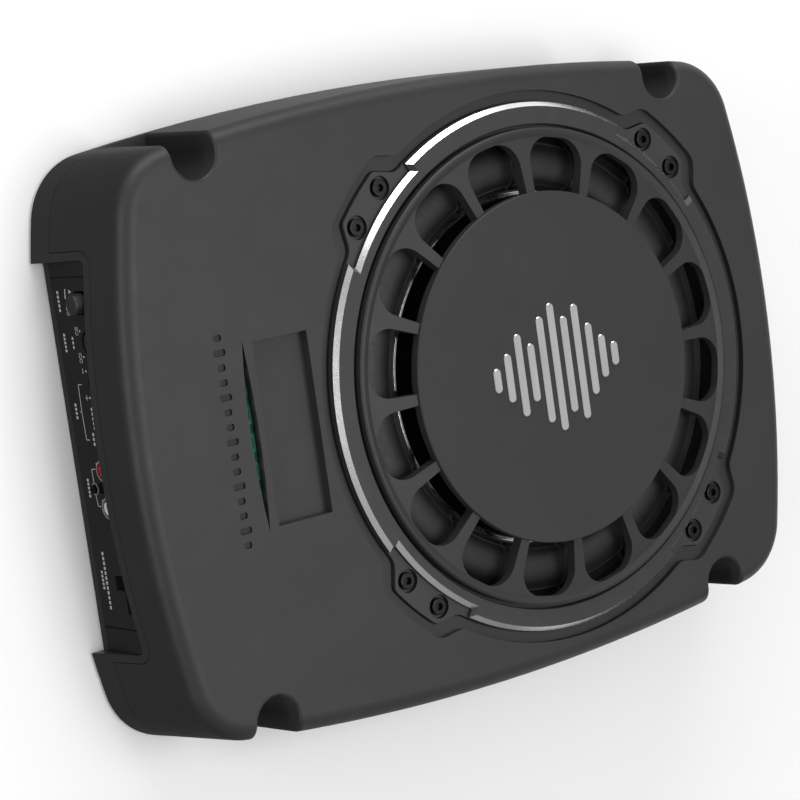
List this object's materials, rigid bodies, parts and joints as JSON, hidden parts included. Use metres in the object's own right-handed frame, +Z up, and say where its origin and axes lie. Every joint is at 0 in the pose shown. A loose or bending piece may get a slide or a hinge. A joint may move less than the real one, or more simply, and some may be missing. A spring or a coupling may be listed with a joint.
{
  "type": "powered car subwoofer",
  "caption": "Low, bowed rectangular car bass enclosure with a round grille over a slim driver, an internal amplifier and a recessed control panel at one end.",
  "frame": {"origin": "centre of the four mounting holes and of the base outline, on the surface that the rubber feet stand on", "axes": "+Z up out of the grille, +X towards the driver end, -X towards the control panel, +Y completing the right hand"},
  "size_m": [0.3444, 0.25, 0.0604],
  "materials": {
    "shell_plastic": "soft-touch matt, fine texture",
    "base_plastic": "moulded, matt",
    "foot_rubber": "matt",
    "screw_black": "black oxide, satin",
    "basket_metal": "black coat, satin",
    "gasket_foam": "closed-cell foam",
    "surround_rubber": "satin rubber",
    "cone_gloss": "gloss black",
    "bright_trim": "polished",
    "spider_cloth": "resin-treated cloth",
    "aluminium": "plain",
    "copper_winding": "enamelled wire",
    "plated_steel": "zinc plated",
    "ferrite": "ground ferrite",
    "terminal_board": "phenolic board",
    "wire_insulation": "insulated wire",
    "trim_metal": "black anodised with a bright bevel",
    "grille_plastic": "moulded, matt",
    "disc_plastic": "moulded, matt",
    "board_green": "solder mask",
    "lamp_package": "moulded lamp body",
    "brass": "plain",
    "component_black": "moulded component body",
    "capacitor_sleeve": "heat-shrunk sleeve",
    "panel_plastic": "satin, printed marks",
    "button_plastic": "moulded, satin",
    "knob_plastic": "moulded, satin",
    "lamp_red": "tinted lens",
    "phono_red": "moulded insulator",
    "phono_white": "moulded insulator"
  },
  "bodies": {
    "enclosure": {"enclosure_shell": "shell_plastic", "base_plate": "base_plastic", "base_screws": "screw_black", "rubber_feet": "foot_rubber", "driver_basket": "basket_metal", "basket_gasket": "gasket_foam", "driver_screws": "screw_black", "surround": "surround_rubber", "spider": "spider_cloth", "top_plate": "plated_steel", "magnet_ring": "ferrite", "magnet_yoke": "plated_steel", "terminal_strip": "terminal_board", "speaker_wires": "wire_insulation", "trim_ring": "trim_metal", "grille": "grille_plastic", "centre_disc": "disc_plastic", "disc_emblem": "bright_trim", "indicator_board": "board_green", "indicator_leds": "lamp_package", "amplifier_board": "board_green", "board_standoffs": "brass", "board_screws": "plated_steel", "heatsink": "aluminium", "power_transistors": "component_black", "transistor_clamp": "plated_steel", "filter_capacitors": "capacitor_sleeve", "transformer_core": "ferrite", "transformer_winding": "copper_winding", "filter_coil": "copper_winding", "audio_chips": "component_black", "control_panel": "panel_plastic", "panel_screws": "screw_black", "phase_switch": "component_black", "frequency_control": "plated_steel", "gain_control": "plated_steel", "power_lamp": "lamp_red", "phono_socket_red": "phono_red", "phono_socket_white": "phono_white", "phono_block": "component_black", "phono_screw": "screw_black", "remote_jack": "component_black", "power_socket": "component_black", "power_pins": "brass"},
    "cone_assembly": {"cone": "cone_gloss", "cone_trim_ring": "bright_trim", "dust_cap": "cone_gloss", "coil_former": "aluminium", "voice_coil": "copper_winding"},
    "phase_button": {"phase_button": "button_plastic"},
    "frequency_knob": {"frequency_knob": "knob_plastic"},
    "gain_knob": {"gain_knob": "knob_plastic"}
  },
  "joints": [
    {"name": "cone_travel", "type": "slide", "parent": "enclosure", "child": "cone_assembly", "axis": [0, 0, 1], "range_m": [-0.005, 0.005], "stiffness_N_per_m": 3300, "deforming": ["surround", "spider"]},
    {"name": "phase_press", "type": "slide", "parent": "enclosure", "child": "phase_button", "axis": [1, 0, 0], "range_m": [0, 0.0025], "stiffness_N_per_m": 300},
    {"name": "frequency_turn", "type": "hinge", "parent": "enclosure", "child": "frequency_knob", "pos_m": [-0.163, 0.0453, 0.026], "axis": [-1, 0, 0], "range_deg": [-150, 150]},
    {"name": "gain_turn", "type": "hinge", "parent": "enclosure", "child": "gain_knob", "pos_m": [-0.163, 0.0295, 0.026], "axis": [-1, 0, 0], "range_deg": [-150, 150]}
  ]
}
